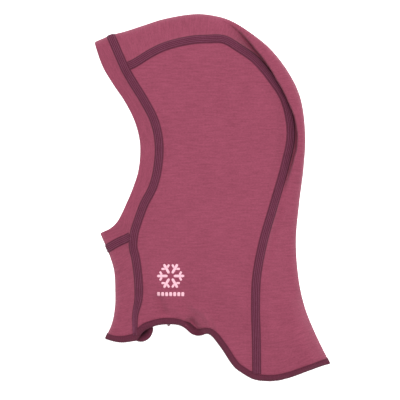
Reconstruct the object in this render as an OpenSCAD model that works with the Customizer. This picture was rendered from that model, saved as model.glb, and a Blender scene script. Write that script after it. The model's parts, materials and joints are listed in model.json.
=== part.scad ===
// Child's knitted balaclava, laid on its right side on a table.
// Millimetres. +Z is up from the table, +Y runs from the hem to the crown, and +X from the face to the nape.
// The garment is a flat plan of seam lines and folded edges. A height rule lifts the plan into an upper
// and a lower layer, which meet round the folds at the crown, the nape and the front of the neck.

/* [Garment] */
// Length of the laid garment, from the lowest point of the hem to the crown
laid_h = 312; // [280:1:350]
// Height of the laid garment over the middle of the head
loft_h = 22; // [20:1:28]
// Thickness of the knitted fabric
fabric_t = 1.3; // [0.9:0.1:1.6]
// Height of a folded edge, such as the crown line
fold_h = 12; // [10:1:14]
// Share of the loft that is left at the face opening
face_loft = 0.4; // [0.3:0.05:0.6]
// Share of the loft that is left at the hem
hem_loft = 0.35; // [0.3:0.05:0.6]

/* [Stitching] */
// Width of a flatlock seam
seam_w = 7.5; // [6:0.5:8]
// Height of the stitching above the fabric
thread_h = 0.45; // [0.35:0.05:0.5]
// Rows of needle thread in a flatlock seam
needle_rows = 4; // [2:1:5]
// Depth of the overlock stitching round the hem
overlock_w = 5; // [3.5:0.5:6]

/* [Trim] */
// Width of the blank care label
label_w = 26; // [20:1:35]
// Length of the folded care label, from the seam to its fold
label_l = 34; // [20:1:40]
// Diameter of the snowflake print
flake_d = 23; // [14:1:26]

/* [Hidden] */

wool = [0.635, 0.306, 0.400];
plum = [0.443, 0.212, 0.290];
pale_pink = [0.976, 0.757, 0.804];
label_white = [0.93, 0.92, 0.90];

UP = 1;     // the upper layer, which is the wearer's left
DOWN = -1;  // the lower layer, which is the wearer's right

drawn_h = 310.75;                   // height of the garment as its plan is drawn below
drawn_centre = [0.35, 0.77];        // middle of the drawn plan's box, which becomes the origin
plan_scale = laid_h / drawn_h;
function plan(points) = [for (p = points) plan_scale * (p - drawn_centre)];
fold_r = fold_h / 2;
rest_z = 0.5;                       // the lower layer's outer face, which its stitching holds off the table
mid_z = rest_z + fold_r;            // height of a folded edge
loft = loft_h - rest_z - fold_h;    // what the upper layer rises above a folded edge
loft_run = 34;                      // distance from a fold over which it rises
face_run = 26;                      // distance from the face opening over which it sinks
hem_run = 45;                       // the same from the hem
half_gap = 0.2;                     // half the gap between two panels under a seam
ply_gap = 0.15;                     // between the two plies of the face band
skin_gap = 0.03;                    // between the fabric and the stitching on it
seam_end_gap = 0.5;                 // between the end of one line of stitching and the next line's side
needle_gap = 0.4;                   // between the overlock's edge and its line of needle thread
overlock_t = 0.25;

// ---- The plan: seam lines and folded edges, each a smooth curve through a few points ----

// The two crown lines have matching points: the fabric strip runs from each seam point to its fold point.
crown_fold = plan([
    [-86.4, 138.3], [-73, 141.7], [-57.8, 146.7], [-40, 152.2], [-17, 156], [0, 155.1], [17, 150],
    [35.9, 137.6], [52.5, 122.6], [67, 102.3], [75.6, 81.5], [79, 53.1], [77.6, 25.1], [74.1, -5.5],
    [71.5, -36.1], [73.3, -65.9], [78.2, -90.5], [86.6, -112.6], [100.1, -140.6]
]);
crown_seam = plan([
    [-73.8, 109.8], [-64.6, 113.9], [-51, 122.3], [-37.4, 128.4], [-18.7, 132.8], [-3.4, 133.9],
    [10.2, 133.5], [23.8, 125.7], [37.4, 115.8], [51, 99.5], [62, 81.2], [66.7, 54], [61.6, 26.8],
    [52.3, -5.5], [43.4, -36.1], [37.8, -65], [36.6, -90.5], [37.4, -121], [37.8, -154.3]
]);
// From the forehead fold, past the crown seam and the chin seam, down to the hem
front_seam = plan([
    [-86.4, 138.3], [-73.8, 109.8], [-66.3, 96.5], [-56.9, 81.2], [-48.4, 64], [-44.7, 45], [-45.9, 25.1],
    [-49.9, 9], [-57.3, -5.5], [-62.7, -20], [-65.9, -31], [-66.7, -41.5], [-64.4, -52], [-62.4, -68],
    [-62.2, -84.5], [-65.6, -101], [-65.9, -121]
]);
crown_join = 1 / 16;                // where the crown seam meets the front seam, as a share of its points
chin_join = 10 / 16;                // where the chin seam meets it
face_edge = plan([
    [-100.3, 132.2], [-93.2, 111.8], [-84.3, 96.5], [-74, 81.2], [-65.5, 64], [-61.2, 45.5], [-62.2, 25.1],
    [-66.9, 9], [-73.2, -6], [-79.8, -19.1], [-86.4, -26], [-95.3, -30.2]
]);
chin_seam = plan([[-65.9, -31], [-71.6, -34.2], [-78, -37.1], [-84.4, -40.4], [-89.4, -43.6]]);
chin_fold = plan([
    [-89.4, -43.6], [-86.2, -52], [-83.2, -63.3], [-82.4, -78.6], [-82.6, -92.2], [-85.1, -106.5],
    [-90.7, -119.3]
]);
hem_left = plan([
    [-65.9, -121], [-61.8, -117.2], [-57.4, -111.6], [-50, -108], [-40, -106.9], [-30, -107.4],
    [-20, -112.2], [-10, -116.2], [-1.5, -116], [6.5, -125], [14, -136], [21.5, -145.3], [29.5, -150.6],
    [37.8, -154.3]
]);
// The lower layer's hem shows past the upper one beside the front seam only
hem_right = plan([
    [-65.9, -121], [-60, -121.9], [-53, -119], [-50.4, -111], [-44.5, -104], [-32, -103.7], [-22, -107],
    [-11, -111.4], [-1, -112.8], [6, -119.5], [14, -131.5], [22, -142], [30, -149], [37.8, -154.3]
]);
crown_hem_drop = 4.2 * plan_scale;  // how far the crown panel's hem bows below a straight line
chin_hem_drop = 2.2 * plan_scale;   // the same for the chin panel

// ---- Curves ----

function catmull(a, b, c, d, f) =
    0.5 * (2 * b + f * (c - a) + f * f * (2 * a - 5 * b + 4 * c - d) + f * f * f * (3 * b - a - 3 * c + d));

// The point at share t, from 0 to 1, of a smooth curve through pts
function along(pts, t) =
    let (
        n = len(pts) - 1,
        s = min(max(t, 0), 1) * n,
        i = min(floor(s), n - 1),
        before = i > 0 ? pts[i - 1] : 2 * pts[0] - pts[1],
        after = i + 2 <= n ? pts[i + 2] : 2 * pts[n] - pts[n - 1]
    )
    catmull(before, pts[i], pts[i + 1], after, s - i);

function shares(n) = [for (i = [0:n]) i / n];
// Shares that crowd together at both ends, where a ring turns over a fold
function crowded(n) = [for (i = [0:n]) (1 - cos(180 * i / n)) / 2];
function curve(pts, n) = [for (t = shares(n)) along(pts, t)];
function reverse(list) = [for (i = [len(list) - 1:-1:0]) list[i]];
function unit(v) = v / norm(v);
function smooth(x) = let (c = min(1, max(0, x))) c * c * (3 - 2 * c);

function segment_distance(p, a, b) =
    let (d = b - a, f = min(1, max(0, ((p - a) * d) / (d * d)))) norm(p - a - f * d);
function line_distance(p, line) =
    min([for (i = [0:len(line) - 2]) segment_distance(p, line[i], line[i + 1])]);

// ---- Height rule ----

fold_lines = [
    concat([face_edge[0]], curve(crown_fold, 30)),
    concat([face_edge[len(face_edge) - 1]], curve(chin_fold, 8))
];
face_line = curve(face_edge, 16);
hem_line = concat([along(chin_fold, 1)], curve(hem_left, 14), [along(crown_fold, 1)]);

function fold_distance(p) = min([for (line = fold_lines) line_distance(p, line)]);
// 0 on a fold, 1 from one fold radius in
function turned(d) = let (c = max(0, 1 - d / fold_r)) sqrt(1 - c * c);
function rise(p) =
    loft * smooth(fold_distance(p) / loft_run)
    * (face_loft + (1 - face_loft) * smooth(line_distance(p, face_line) / face_run))
    * (hem_loft + (1 - hem_loft) * smooth(line_distance(p, hem_line) / hem_run));
// Height of the outer face at plan point p, which is a distance d from its fold
function face_z(p, d, side) =
    side == UP ? mid_z + fold_r * turned(d) + rise(p) : mid_z - fold_r * turned(d);
function lifted(p, d, side) = [p.x, p.y, face_z(p, d, side)];

// ---- Skins: a grid of points on the outer face becomes a solid between two offsets from it ----

// Outward normal at grid[i][j]; a ring wraps round in i
function grid_normal(grid, i, j, ring) =
    let (
        n = len(grid),
        m = len(grid[0]),
        before = ring ? (i + n - 1) % n : max(i - 1, 0),
        after = ring ? (i + 1) % n : min(i + 1, n - 1),
        side_step = grid[i][min(j + 1, m - 1)] - grid[i][max(j - 1, 0)]
    )
    unit(cross(grid[after][j] - grid[before][j], side_step));

function offset_grid(grid, h, ring = false) =
    [for (i = [0:len(grid) - 1]) [for (j = [0:len(grid[0]) - 1]) grid[i][j] + h * grid_normal(grid, i, j, ring)]];

// A solid swept through sections, each a closed loop of the same number of points
module loft_solid(sections, ring = false) {
    n = len(sections);
    m = len(sections[0]);
    walls = [
        for (i = [0:n - (ring ? 1 : 2)], j = [0:m - 1])
            let (a = i * m + j, b = i * m + (j + 1) % m, c = ((i + 1) % n) * m + (j + 1) % m, d = ((i + 1) % n) * m + j)
            each [[a, b, c], [a, c, d]]
    ];
    // A cap joins each end's outer row to its inner row
    cap = [for (j = [0:m / 2 - 2]) each [[j, m - 2 - j, j + 1], [j, m - 1 - j, m - 2 - j]]];
    caps = ring ? [] : concat(cap, [for (f = cap) [for (q = [2:-1:0]) (n - 1) * m + f[q]]]);
    polyhedron(points = [for (s = sections) each s], faces = concat(walls, caps), convexity = 8);
}

// The skin between offsets low and high from a grid
module skin(grid, low, high, ring = false) {
    outer = offset_grid(grid, high, ring);
    inner = offset_grid(grid, low, ring);
    loft_solid([for (i = [0:len(grid) - 1]) concat(outer[i], reverse(inner[i]))], ring);
}

// ---- Panels ----

// Distances from the fold at which a strip is sampled: round the fold, then on to w
function fold_steps(w) =
    concat([for (i = [0:4]) fold_r * (1 - cos(22.5 * i))], [for (i = [1:3]) fold_r + (w - fold_r) * i / 3]);

// A strip folded in half: a point at distance d from its fold. The strip's end bows down by drop, which is
// deepest halfway across at a skew of 1, and nearer the seam above that.
function strip_point(seam_point, fold_point, d, drop, skew) =
    let (f = min(1, d / norm(seam_point - fold_point)))
    fold_point + f * (seam_point - fold_point) - [0, drop * sin(180 * pow(f, skew))];

function strip_row(seam_point, fold_point, drop, skew) =
    let (
        steps = fold_steps(norm(seam_point - fold_point) - half_gap),
        upper = [for (d = reverse(steps)) lifted(strip_point(seam_point, fold_point, d, drop, skew), d, UP)],
        lower = [
            for (k = [1:len(steps) - 1])
                lifted(strip_point(seam_point, fold_point, steps[k], drop, skew), steps[k], DOWN)
        ]
    )
    concat(upper, lower);

function crown_row(t) =
    strip_row(along(crown_seam, t), along(crown_fold, t), crown_hem_drop * smooth((t - 0.75) / 0.25), 1.6);
function chin_row(t) =
    strip_row(
        along(front_seam, chin_join + (1 - chin_join) * t), along(chin_fold, t),
        chin_hem_drop * smooth((t - 0.5) / 0.5), 1
    );

first_share = 0.003;                // a strip starts this share past the seam at its head

module crown_panel() {
    color(wool) skin([for (t = shares(44)) crown_row(first_share + (1 - first_share) * t)], -fabric_t, 0);
}

module chin_panel() {
    color(wool) skin(reverse([for (t = shares(12)) chin_row(first_share + (1 - first_share) * t)]), -fabric_t, 0);
}

// The side panel's plan: u runs from the front seam to the crown seam, v from the forehead to the hem
function side_plan(u, v, hem) =
    let (
        front = along(front_seam, crown_join + (1 - crown_join) * v),
        back = along(crown_seam, v),
        straight_end = (1 - u) * hem[0] + u * hem[len(hem) - 1],
        trim = half_gap / norm(back - front),
        w = trim + (1 - 2 * trim) * u
    )
    (1 - w) * front + w * back + (along(hem, u) - straight_end) * smooth((v - 0.55) / 0.45);

apex = 0.012;                       // the side panel starts this share below the point where two seams meet

module left_side_panel() {
    rows = [for (v = shares(30)) [for (u = shares(26)) side_plan(u, apex + (1 - apex) * v, hem_left)]];
    color(wool) skin([for (row = rows) [for (p = row) lifted(p, fold_r, UP)]], -fabric_t, 0);
}

// The right side panel lies flat: its middle touches the table and its rim lies on the stitching
module right_side_panel() {
    rim = max(seam_w / 2, hem_stitching) + 1;
    front = [for (v = shares(26)) side_plan(0, apex + (1 - apex) * v, hem_right)];
    hem = [for (u = shares(26)) side_plan(u, 1, hem_right)];
    back = [for (v = reverse(shares(36))) side_plan(1, apex + (1 - apex) * v, hem_right)];
    outline = concat(front, [for (i = [1:len(hem) - 1]) hem[i]], [for (i = [1:len(back) - 1]) back[i]]);
    color(wool) {
        translate([0, 0, rest_z]) linear_extrude(fabric_t) polygon(outline);
        linear_extrude(fabric_t) polygon(inset(outline, rim));
    }
}

// A closed outline moved inwards by d, with the points that come nearer than d to it left out
function inset(outline, d) =
    let (
        n = len(outline),
        moved = [
            for (i = [0:n - 1])
                let (t = unit(outline[(i + 1) % n] - outline[(i + n - 1) % n]))
                outline[i] + d * [-t.y, t.x]
        ],
        closed = concat(outline, [outline[0]])
    )
    [for (p = moved) if (line_distance(p, closed) > d - 0.25) p];

// ---- Face band: a strip folded double along the face opening, and sewn into a ring ----

// The band's sewn edge at share s: down the front seam as far as the chin seam, and then along it
corner_share = 0.84;
function band_sewn(s) =
    s <= corner_share ? along(front_seam, chin_join * s / corner_share)
    : along(chin_seam, (s - corner_share) / (1 - corner_share));

// A hairpin: the outer ply, the fold at the face edge, and the inner ply, which stops short of the stitching.
// Points 0 to 3 run from the sewn edge to the fold on the outer face, and 1 is where the inner ply starts.
function band_section(points, normals) =
    let (
        r = fabric_t + ply_gap / 2,
        out = unit(points[3] - points[2]),
        n = normals[3],
        nose = [for (a = [45, 90, 135]) points[3] - r * n + r * (cos(a) * n + sin(a) * out)]
    )
    concat(
        points, nose,
        [for (j = [3, 2, 1]) points[j] - 2 * r * normals[j]],
        [for (j = [1, 2, 3]) points[j] - (fabric_t + ply_gap) * normals[j]],
        [for (j = [3, 2, 1, 0]) points[j] - fabric_t * normals[j]]
    );

function band_row(s, side) =
    let (
        sewn = band_sewn(s),
        edge = along(face_edge, s),
        nose = fabric_t + ply_gap / 2,
        width = norm(edge - sewn),
        // distance from the nearer of the ring's two folds, at the sewn edge and at the face edge
        d_sewn = min(norm(sewn - band_sewn(0)), norm(sewn - band_sewn(1))),
        d_edge = min(norm(edge - along(face_edge, 0)), norm(edge - along(face_edge, 1)))
    )
    [
        for (f = [half_gap / width, (seam_w / 2 + seam_end_gap) / width, 0.65, 1 - nose / width])
            lifted((1 - f) * sewn + f * edge, (1 - f) * d_sewn + f * d_edge, side)
    ];

band_shares = crowded(26);
band_grid = concat(
    [for (s = band_shares) band_row(s, UP)],
    [for (i = [len(band_shares) - 2:-1:1]) band_row(band_shares[i], DOWN)]
);

module face_band() {
    n = len(band_grid);
    color(wool)
        loft_solid(
            [for (i = reverse([for (q = [0:n - 1]) q]))
                band_section(band_grid[i], [for (j = [0:3]) -grid_normal(band_grid, i, j, true)])],
            ring = true
        );
}

// ---- Stitching ----

// Cross directions of a plan path, 90 degrees to the left of its travel
function cross_directions(path) =
    [for (i = [0:len(path) - 1])
        let (t = unit(path[min(i + 1, len(path) - 1)] - path[max(i - 1, 0)])) [-t.y, t.x]];

// A ribbon's grid along a plan path, at the given cross offsets. distances[i] is how far point i is from its fold.
function ribbon_grid(path, distances, offsets, side) =
    let (across = cross_directions(path))
    [for (i = [0:len(path) - 1]) [for (o = offsets) lifted(path[i] + o * across[i], distances[i], side)]];

// The same path run over its fold: up one layer to the fold, and back down the other
function folded_grid(path, distances, offsets) =
    let (
        upper = ribbon_grid(path, distances, offsets, UP),
        lower = ribbon_grid(path, distances, offsets, DOWN)
    )
    concat(upper, [for (i = [len(lower) - 2:-1:0]) lower[i]]);

seam_offsets = [-seam_w / 2, 0, seam_w / 2];
cover_h = thread_h * 0.55;
row_w = 0.7;
row_pitch = (seam_w - row_w) / (needle_rows - 1);
function row_offsets(k) = let (mid = -seam_w / 2 + row_w / 2 + k * row_pitch) [mid - row_w / 2, mid + row_w / 2];

// A path without its first d of length, and with no point close to its new start
function cut_start(path, d) =
    let (
        i = [for (k = [1:len(path) - 1]) if (norm(path[k] - path[0]) > d + 1.5) k][0],
        near = norm(path[i - 1] - path[0]),
        far = norm(path[i] - path[0])
    )
    concat(
        [path[i - 1] + (path[i] - path[i - 1]) * (d - near) / (far - near)],
        [for (k = [i:len(path) - 1]) path[k]]
    );
function cut_end(path, d) = reverse(cut_start(reverse(path), d));

// A path that ends on a fold, with its last points moved to the steps round the fold
function path_to_fold(path) =
    let (
        last = path[len(path) - 1],
        far = [for (p = path) if (norm(p - last) > fold_r + 2) p],
        back = unit(far[len(far) - 1] - last)
    )
    concat(far, [for (i = [4:-1:0]) last + fold_r * (1 - cos(22.5 * i)) * back]);
function distances_to_end(path) = [for (p = path) norm(p - path[len(path) - 1])];

// The seams stop short of the overlock, and the front seam stops further up, as the hem slants beside it
hem_stitching = overlock_w + needle_gap + row_w;
front_path = cut_start(path_to_fold(reverse(curve(front_seam, 40))), hem_stitching + 4.6);
chin_path = cut_start(path_to_fold(curve(chin_seam, 5)), seam_w / 2 + 1.2);
crown_path = cut_end(cut_start(curve(crown_seam, 54), seam_w / 2 + seam_end_gap), hem_stitching + 3);

// The three layers of thread in a flatlock seam, over a grid made for each set of cross offsets
module flatlock_cover(grid) {
    color(plum) skin(grid, skin_gap, skin_gap + cover_h);
}

module flatlock_needle_row(grid) {
    color(plum) skin(grid, skin_gap + cover_h, thread_h);
}

module flatlock_looper(grid) {
    color(plum) skin(grid, -fabric_t - skin_gap - cover_h, -fabric_t - skin_gap);
}

// A crown seam stays on its own layer
function crown_seam_grid(side, offsets) =
    let (grid = ribbon_grid(crown_path, [for (p = crown_path) fold_r], offsets, side))
    side == UP ? grid : reverse(grid);

module left_crown_seam_cover() {
    flatlock_cover(crown_seam_grid(UP, seam_offsets));
}

module left_crown_seam_needles() {
    for (k = [0:needle_rows - 1]) flatlock_needle_row(crown_seam_grid(UP, row_offsets(k)));
}

module left_crown_seam_looper() {
    flatlock_looper(crown_seam_grid(UP, seam_offsets));
}

module right_crown_seam_cover() {
    flatlock_cover(crown_seam_grid(DOWN, seam_offsets));
}

module right_crown_seam_needles() {
    for (k = [0:needle_rows - 1]) flatlock_needle_row(crown_seam_grid(DOWN, row_offsets(k)));
}

module right_crown_seam_looper() {
    flatlock_looper(crown_seam_grid(DOWN, seam_offsets));
}

// The front seam runs from the hem over the forehead fold to the hem on the other layer
function front_seam_grid(offsets) = folded_grid(front_path, distances_to_end(front_path), offsets);

module front_seam_cover() {
    flatlock_cover(front_seam_grid(seam_offsets));
}

module front_seam_needles() {
    for (k = [0:needle_rows - 1]) flatlock_needle_row(front_seam_grid(row_offsets(k)));
}

module front_seam_looper() {
    flatlock_looper(front_seam_grid(seam_offsets));
}

// The chin seam runs from one side of the front seam round the chin fold to the other
function chin_seam_grid(offsets) = folded_grid(chin_path, distances_to_end(chin_path), offsets);

module chin_seam_cover() {
    flatlock_cover(chin_seam_grid(seam_offsets));
}

module chin_seam_needles() {
    for (k = [0:needle_rows - 1]) flatlock_needle_row(chin_seam_grid(row_offsets(k)));
}

module chin_seam_looper() {
    flatlock_looper(chin_seam_grid(seam_offsets));
}

// How much length one whole share of a panel's rows stands for, at the rate it has beside the hem
front_rate = 300 * plan_scale;
back_rate = 600 * plan_scale;
crown_rate = 580 * plan_scale;
chin_rate = 100 * plan_scale;

// The hem's edge with a line that lies inset_by further in, as a ring round the opening of the neck
function hem_side_pair(u, inset_by, hem, side) =
    let (v_step = inset_by / ((1 - u) * front_rate + u * back_rate))
    [for (v = [1, 1 - v_step]) lifted(side_plan(u, v, hem), fold_r, side)];
function pairs(edge_row, inner_row) = [for (i = [0:len(edge_row) - 1]) [edge_row[i], inner_row[i]]];
function hem_ring(inset_by) =
    concat(
        [for (i = [1:25]) hem_side_pair(i / 26, inset_by, hem_left, UP)],
        pairs(crown_row(1), crown_row(1 - inset_by / crown_rate)),
        [for (i = [25:-1:1]) hem_side_pair(i / 26, inset_by, hem_right, DOWN)],
        reverse(pairs(chin_row(1), chin_row(1 - inset_by / chin_rate)))
    );

// The overlock wraps the hem's raw edge: a U of thread over the outer face, the edge and the inner face
module hem_overlock() {
    ring = hem_ring(overlock_w);
    near = skin_gap;
    far = skin_gap + overlock_t;
    sections = [
        for (i = [0:len(ring) - 1])
            let (
                edge = ring[i][0],
                inner = ring[i][1],
                n = grid_normal(ring, i, 0, true),
                out = unit(edge - inner)
            )
            [
                edge + far * n + far * out,
                inner + far * n,
                inner + near * n,
                edge + near * n + near * out,
                edge - (fabric_t + near) * n + near * out,
                inner - (fabric_t + near) * n,
                inner - (fabric_t + far) * n,
                edge - (fabric_t + far) * n + far * out
            ]
    ];
    color(plum) loft_solid(sections, ring = true);
}

// The overlock's line of needle thread, just inside its edge
module hem_needle_thread() {
    near = hem_ring(overlock_w + needle_gap);
    far = hem_ring(overlock_w + needle_gap + row_w);
    grid = [for (i = [0:len(near) - 1]) [near[i][1], far[i][1]]];
    color(plum) skin(grid, skin_gap, skin_gap + overlock_t, ring = true);
}

// ---- Trim ----

// The seam that closes the face band into a ring, on the lower layer
module band_closing_seam() {
    closing_share = 0.56;
    sewn = band_sewn(closing_share);
    edge = along(face_edge, closing_share);
    width = norm(edge - sewn);
    path = [for (d = [seam_w / 2 + seam_end_gap, width / 2, width - 3]) sewn + d * unit(edge - sewn)];
    color(plum)
        skin(reverse(ribbon_grid(path, [for (p = path) fold_r], [-2, 2], DOWN)), skin_gap, skin_gap + cover_h);
}

// A folded ribbon label, sewn at its two ends into the right crown seam
module care_label() {
    ply = 0.3;
    slot = 0.4;
    h = 2 * ply + slot;
    seam_point = along(crown_seam, 0.9);
    translate([seam_point.x, seam_point.y + label_w / 2, rest_z + fabric_t + 2 * skin_gap + cover_h])
        rotate([90, 0, 0])
            color(label_white)
                linear_extrude(label_w)
                    difference() {
                        hull() {
                            translate([-1, 0]) square([1, h]);
                            translate([-label_l + h / 2, h / 2]) circle(d = h, $fn = 12);
                        }
                        hull() {
                            translate([0, ply]) square([1, slot]);
                            translate([-label_l + h / 2, h / 2]) circle(d = slot, $fn = 12);
                        }
                    }
}

print_at = plan([[-35, -66.2]])[0];
print_t = 0.15;

// A straight printed bar on the left side panel, between two plan points
module printed_bar(a, b, w) {
    path = [for (f = [0, 0.5, 1]) a + f * (b - a)];
    color(pale_pink) skin(ribbon_grid(path, [fold_r, fold_r, fold_r], [-w / 2, w / 2], UP), skin_gap, print_t);
}

// A six-armed snowflake over a row of seven dashes
module side_print() {
    arm = flake_d / 2;
    bar_w = 0.1 * flake_d;
    for (k = [0:5]) {
        out = [cos(60 * k), sin(60 * k)];
        printed_bar(print_at + 1.1 * bar_w * out, print_at + arm * out, bar_w);
        for (turn = [-60, 60]) {
            tick = [cos(60 * k + turn), sin(60 * k + turn)];
            root = print_at + 0.6 * arm * out;
            printed_bar(root + bar_w * tick, root + 0.38 * arm * tick, bar_w * 0.8);
        }
    }
    dash = 0.11 * flake_d;
    pitch = (flake_d - dash) / 6;
    for (k = [0:6]) {
        start = print_at + [k * pitch - arm, -0.67 * flake_d];
        printed_bar(start, start + [dash, 0], 0.15 * flake_d);
    }
}

left_side_panel();
right_side_panel();
crown_panel();
chin_panel();
face_band();
left_crown_seam_cover();
left_crown_seam_needles();
left_crown_seam_looper();
right_crown_seam_cover();
right_crown_seam_needles();
right_crown_seam_looper();
front_seam_cover();
front_seam_needles();
front_seam_looper();
chin_seam_cover();
chin_seam_needles();
chin_seam_looper();
hem_overlock();
hem_needle_thread();
band_closing_seam();
care_label();
side_print();
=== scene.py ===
"""A child's knitted balaclava laid on its right side on a table, seen from straight above.

The garment is drawn as a flat plan of seam lines and folded edges, in millimetres, on the same plan as the
CAD part. A height rule lifts the plan into an upper and a lower layer. The fabric, the stitching and the
trim are then built on that surface and replace the plainer CAD nodes.
"""

import json
import math

import bpy
import numpy as np
from mathutils import Vector
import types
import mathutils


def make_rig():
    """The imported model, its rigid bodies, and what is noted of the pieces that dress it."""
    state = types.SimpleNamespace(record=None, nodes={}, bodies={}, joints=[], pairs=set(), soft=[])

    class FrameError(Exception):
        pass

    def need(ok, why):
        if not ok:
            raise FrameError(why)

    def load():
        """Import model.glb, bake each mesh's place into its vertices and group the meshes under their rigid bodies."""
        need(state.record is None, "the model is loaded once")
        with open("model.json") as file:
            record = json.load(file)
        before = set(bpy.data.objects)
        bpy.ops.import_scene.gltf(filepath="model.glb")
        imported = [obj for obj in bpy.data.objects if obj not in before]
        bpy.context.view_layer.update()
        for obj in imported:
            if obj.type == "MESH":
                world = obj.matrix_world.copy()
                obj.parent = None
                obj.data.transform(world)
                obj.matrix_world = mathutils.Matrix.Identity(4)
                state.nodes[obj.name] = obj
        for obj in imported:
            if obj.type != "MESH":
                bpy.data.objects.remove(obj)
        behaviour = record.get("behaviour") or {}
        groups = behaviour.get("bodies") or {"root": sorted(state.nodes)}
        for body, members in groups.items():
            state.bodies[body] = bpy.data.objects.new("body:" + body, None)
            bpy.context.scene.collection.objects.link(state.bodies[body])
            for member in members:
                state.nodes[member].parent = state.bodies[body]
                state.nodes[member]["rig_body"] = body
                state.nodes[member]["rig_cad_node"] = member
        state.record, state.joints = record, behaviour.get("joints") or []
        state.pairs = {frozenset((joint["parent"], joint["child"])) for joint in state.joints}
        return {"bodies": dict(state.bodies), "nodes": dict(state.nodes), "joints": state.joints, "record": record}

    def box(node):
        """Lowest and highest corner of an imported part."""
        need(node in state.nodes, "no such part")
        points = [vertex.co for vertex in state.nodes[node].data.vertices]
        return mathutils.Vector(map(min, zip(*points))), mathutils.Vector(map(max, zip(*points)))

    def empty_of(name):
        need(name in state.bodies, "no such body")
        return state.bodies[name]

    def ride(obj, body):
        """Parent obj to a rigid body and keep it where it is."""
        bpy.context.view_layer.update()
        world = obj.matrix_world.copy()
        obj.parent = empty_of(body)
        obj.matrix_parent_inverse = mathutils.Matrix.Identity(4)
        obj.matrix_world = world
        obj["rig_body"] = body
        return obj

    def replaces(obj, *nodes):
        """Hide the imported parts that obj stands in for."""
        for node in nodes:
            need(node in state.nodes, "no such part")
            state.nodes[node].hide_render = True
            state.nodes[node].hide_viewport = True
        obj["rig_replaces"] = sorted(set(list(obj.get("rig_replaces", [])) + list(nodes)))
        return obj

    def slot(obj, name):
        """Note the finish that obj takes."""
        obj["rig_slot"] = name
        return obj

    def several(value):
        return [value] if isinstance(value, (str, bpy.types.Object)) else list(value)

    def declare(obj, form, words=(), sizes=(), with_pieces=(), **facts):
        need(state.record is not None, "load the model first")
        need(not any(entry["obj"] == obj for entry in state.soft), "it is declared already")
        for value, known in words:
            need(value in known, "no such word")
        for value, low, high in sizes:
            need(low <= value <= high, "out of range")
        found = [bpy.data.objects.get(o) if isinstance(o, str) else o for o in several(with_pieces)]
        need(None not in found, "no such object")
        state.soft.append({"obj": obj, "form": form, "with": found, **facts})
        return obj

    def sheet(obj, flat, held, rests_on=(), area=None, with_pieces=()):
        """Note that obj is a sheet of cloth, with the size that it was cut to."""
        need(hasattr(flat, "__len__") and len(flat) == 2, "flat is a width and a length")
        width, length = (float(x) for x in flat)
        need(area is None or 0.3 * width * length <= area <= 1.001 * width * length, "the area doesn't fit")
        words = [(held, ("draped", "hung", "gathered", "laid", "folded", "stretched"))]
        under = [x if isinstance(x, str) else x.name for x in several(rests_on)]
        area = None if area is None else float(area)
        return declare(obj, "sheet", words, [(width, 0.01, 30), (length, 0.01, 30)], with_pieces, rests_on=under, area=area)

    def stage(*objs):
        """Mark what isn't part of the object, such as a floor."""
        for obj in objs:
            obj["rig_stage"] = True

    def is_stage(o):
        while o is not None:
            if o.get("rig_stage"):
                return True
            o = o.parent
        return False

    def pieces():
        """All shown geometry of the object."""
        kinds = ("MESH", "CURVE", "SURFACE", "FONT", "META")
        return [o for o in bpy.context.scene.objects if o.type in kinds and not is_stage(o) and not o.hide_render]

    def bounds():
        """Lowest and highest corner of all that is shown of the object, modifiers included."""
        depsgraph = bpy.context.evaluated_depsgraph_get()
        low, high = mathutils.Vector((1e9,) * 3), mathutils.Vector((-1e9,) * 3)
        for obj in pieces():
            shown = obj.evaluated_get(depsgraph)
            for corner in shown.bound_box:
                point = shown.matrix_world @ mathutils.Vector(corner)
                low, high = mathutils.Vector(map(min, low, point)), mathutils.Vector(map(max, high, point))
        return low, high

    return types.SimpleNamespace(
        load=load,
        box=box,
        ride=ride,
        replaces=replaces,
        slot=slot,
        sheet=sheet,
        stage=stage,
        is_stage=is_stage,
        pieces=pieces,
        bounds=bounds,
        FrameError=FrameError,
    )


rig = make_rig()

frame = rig.load()
CAD_LOW, CAD_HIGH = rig.bounds()

# ---- The CAD part's sizes, in millimetres of the plan ----

DRAWN_H = 310.75                                # height of the plan as it is drawn below
DRAWN_CENTRE = np.array([0.35, 0.77])
METRE = (CAD_HIGH.y - CAD_LOW.y) / DRAWN_H      # metres for one millimetre of the plan
REST_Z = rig.box("crown_panel")[0].z / METRE     # outer face of the lower layer
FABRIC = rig.box("right_side_panel")[1].z / METRE - REST_Z
LOFT_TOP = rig.box("left_side_panel")[1].z / METRE
SEAM_W = 7.5
OVERLOCK_W = 4.9
FOLD_R = 6.0                                    # radius of a folded edge
MID_Z = REST_Z + FOLD_R
LOFT = LOFT_TOP - MID_Z - FOLD_R - 1.0          # what the upper layer rises above a folded edge
FOLD_RUN = 34                                   # how far from a fold the upper layer keeps rising
FACE_RUN = 26                                   # the same from the face edge, and from the hem
HEM_RUN = 45
FACE_LOFT = 0.4                                 # share of LOFT that is left at the face edge and at the hem
HEM_LOFT = 0.35
HALF_GAP = 0.2                                  # half the gap between two panels under a seam

# ---- The plan ----

# Each crown seam point has its fold point: the crown panel runs between them
CROWN_FOLD = [
    (-86.4, 138.3), (-73, 141.7), (-57.8, 146.7), (-40, 152.2), (-17, 156), (0, 155.1), (17, 150),
    (35.9, 137.6), (52.5, 122.6), (67, 102.3), (75.6, 81.5), (79, 53.1), (77.6, 25.1), (74.1, -5.5),
    (71.5, -36.1), (73.3, -65.9), (78.2, -90.5), (86.6, -112.6), (100.1, -140.6),
]
CROWN_SEAM = [
    (-73.8, 109.8), (-64.6, 113.9), (-51, 122.3), (-37.4, 128.4), (-18.7, 132.8), (-3.4, 133.9),
    (10.2, 133.5), (23.8, 125.7), (37.4, 115.8), (51, 99.5), (62, 81.2), (66.7, 54), (61.6, 26.8),
    (52.3, -5.5), (43.4, -36.1), (37.8, -65), (36.6, -90.5), (37.4, -121), (37.8, -154.3),
]
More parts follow.
